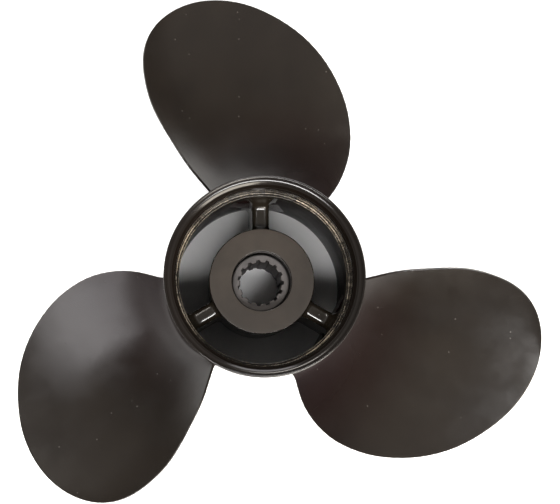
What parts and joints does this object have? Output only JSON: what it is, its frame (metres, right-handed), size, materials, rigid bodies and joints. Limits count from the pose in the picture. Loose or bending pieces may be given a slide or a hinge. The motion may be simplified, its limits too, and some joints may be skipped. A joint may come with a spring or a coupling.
{
  "type": "boat propeller",
  "caption": "Right-hand outboard boat propeller with broad skewed blades, exhaust through a ribbed hub, a flared rear ring and a rubber-mounted splined core.",
  "frame": {"origin": "on the shaft axis, in the plane of the front ends of the barrel and the splined core", "axes": "+Z along the shaft axis towards the rear (aft), +Y through the first blade, +X completes the right-handed frame"},
  "size_m": [0.3084, 0.297, 0.113],
  "materials": {
    "casting_paint": "satin",
    "ring_paint": "satin",
    "hub_casting": "matte",
    "rubber": "matte",
    "core_metal": "satin"
  },
  "bodies": {
    "casting": {"hub_barrel": "casting_paint", "flare_ring": "ring_paint", "inner_hub": "hub_casting", "rib_1": "casting_paint", "rib_2": "casting_paint", "rib_3": "casting_paint", "blade_1": "casting_paint", "blade_2": "casting_paint", "blade_3": "casting_paint", "rubber_bush": "rubber"},
    "core": {"spline_core": "core_metal"}
  },
  "joints": [
    {"name": "bush_windup", "type": "hinge", "parent": "casting", "child": "core", "pos_m": [0, 0, 0.03], "axis": [0, 0, 1], "range_deg": [-8, 8], "stiffness_Nm_per_rad": 3}
  ]
}
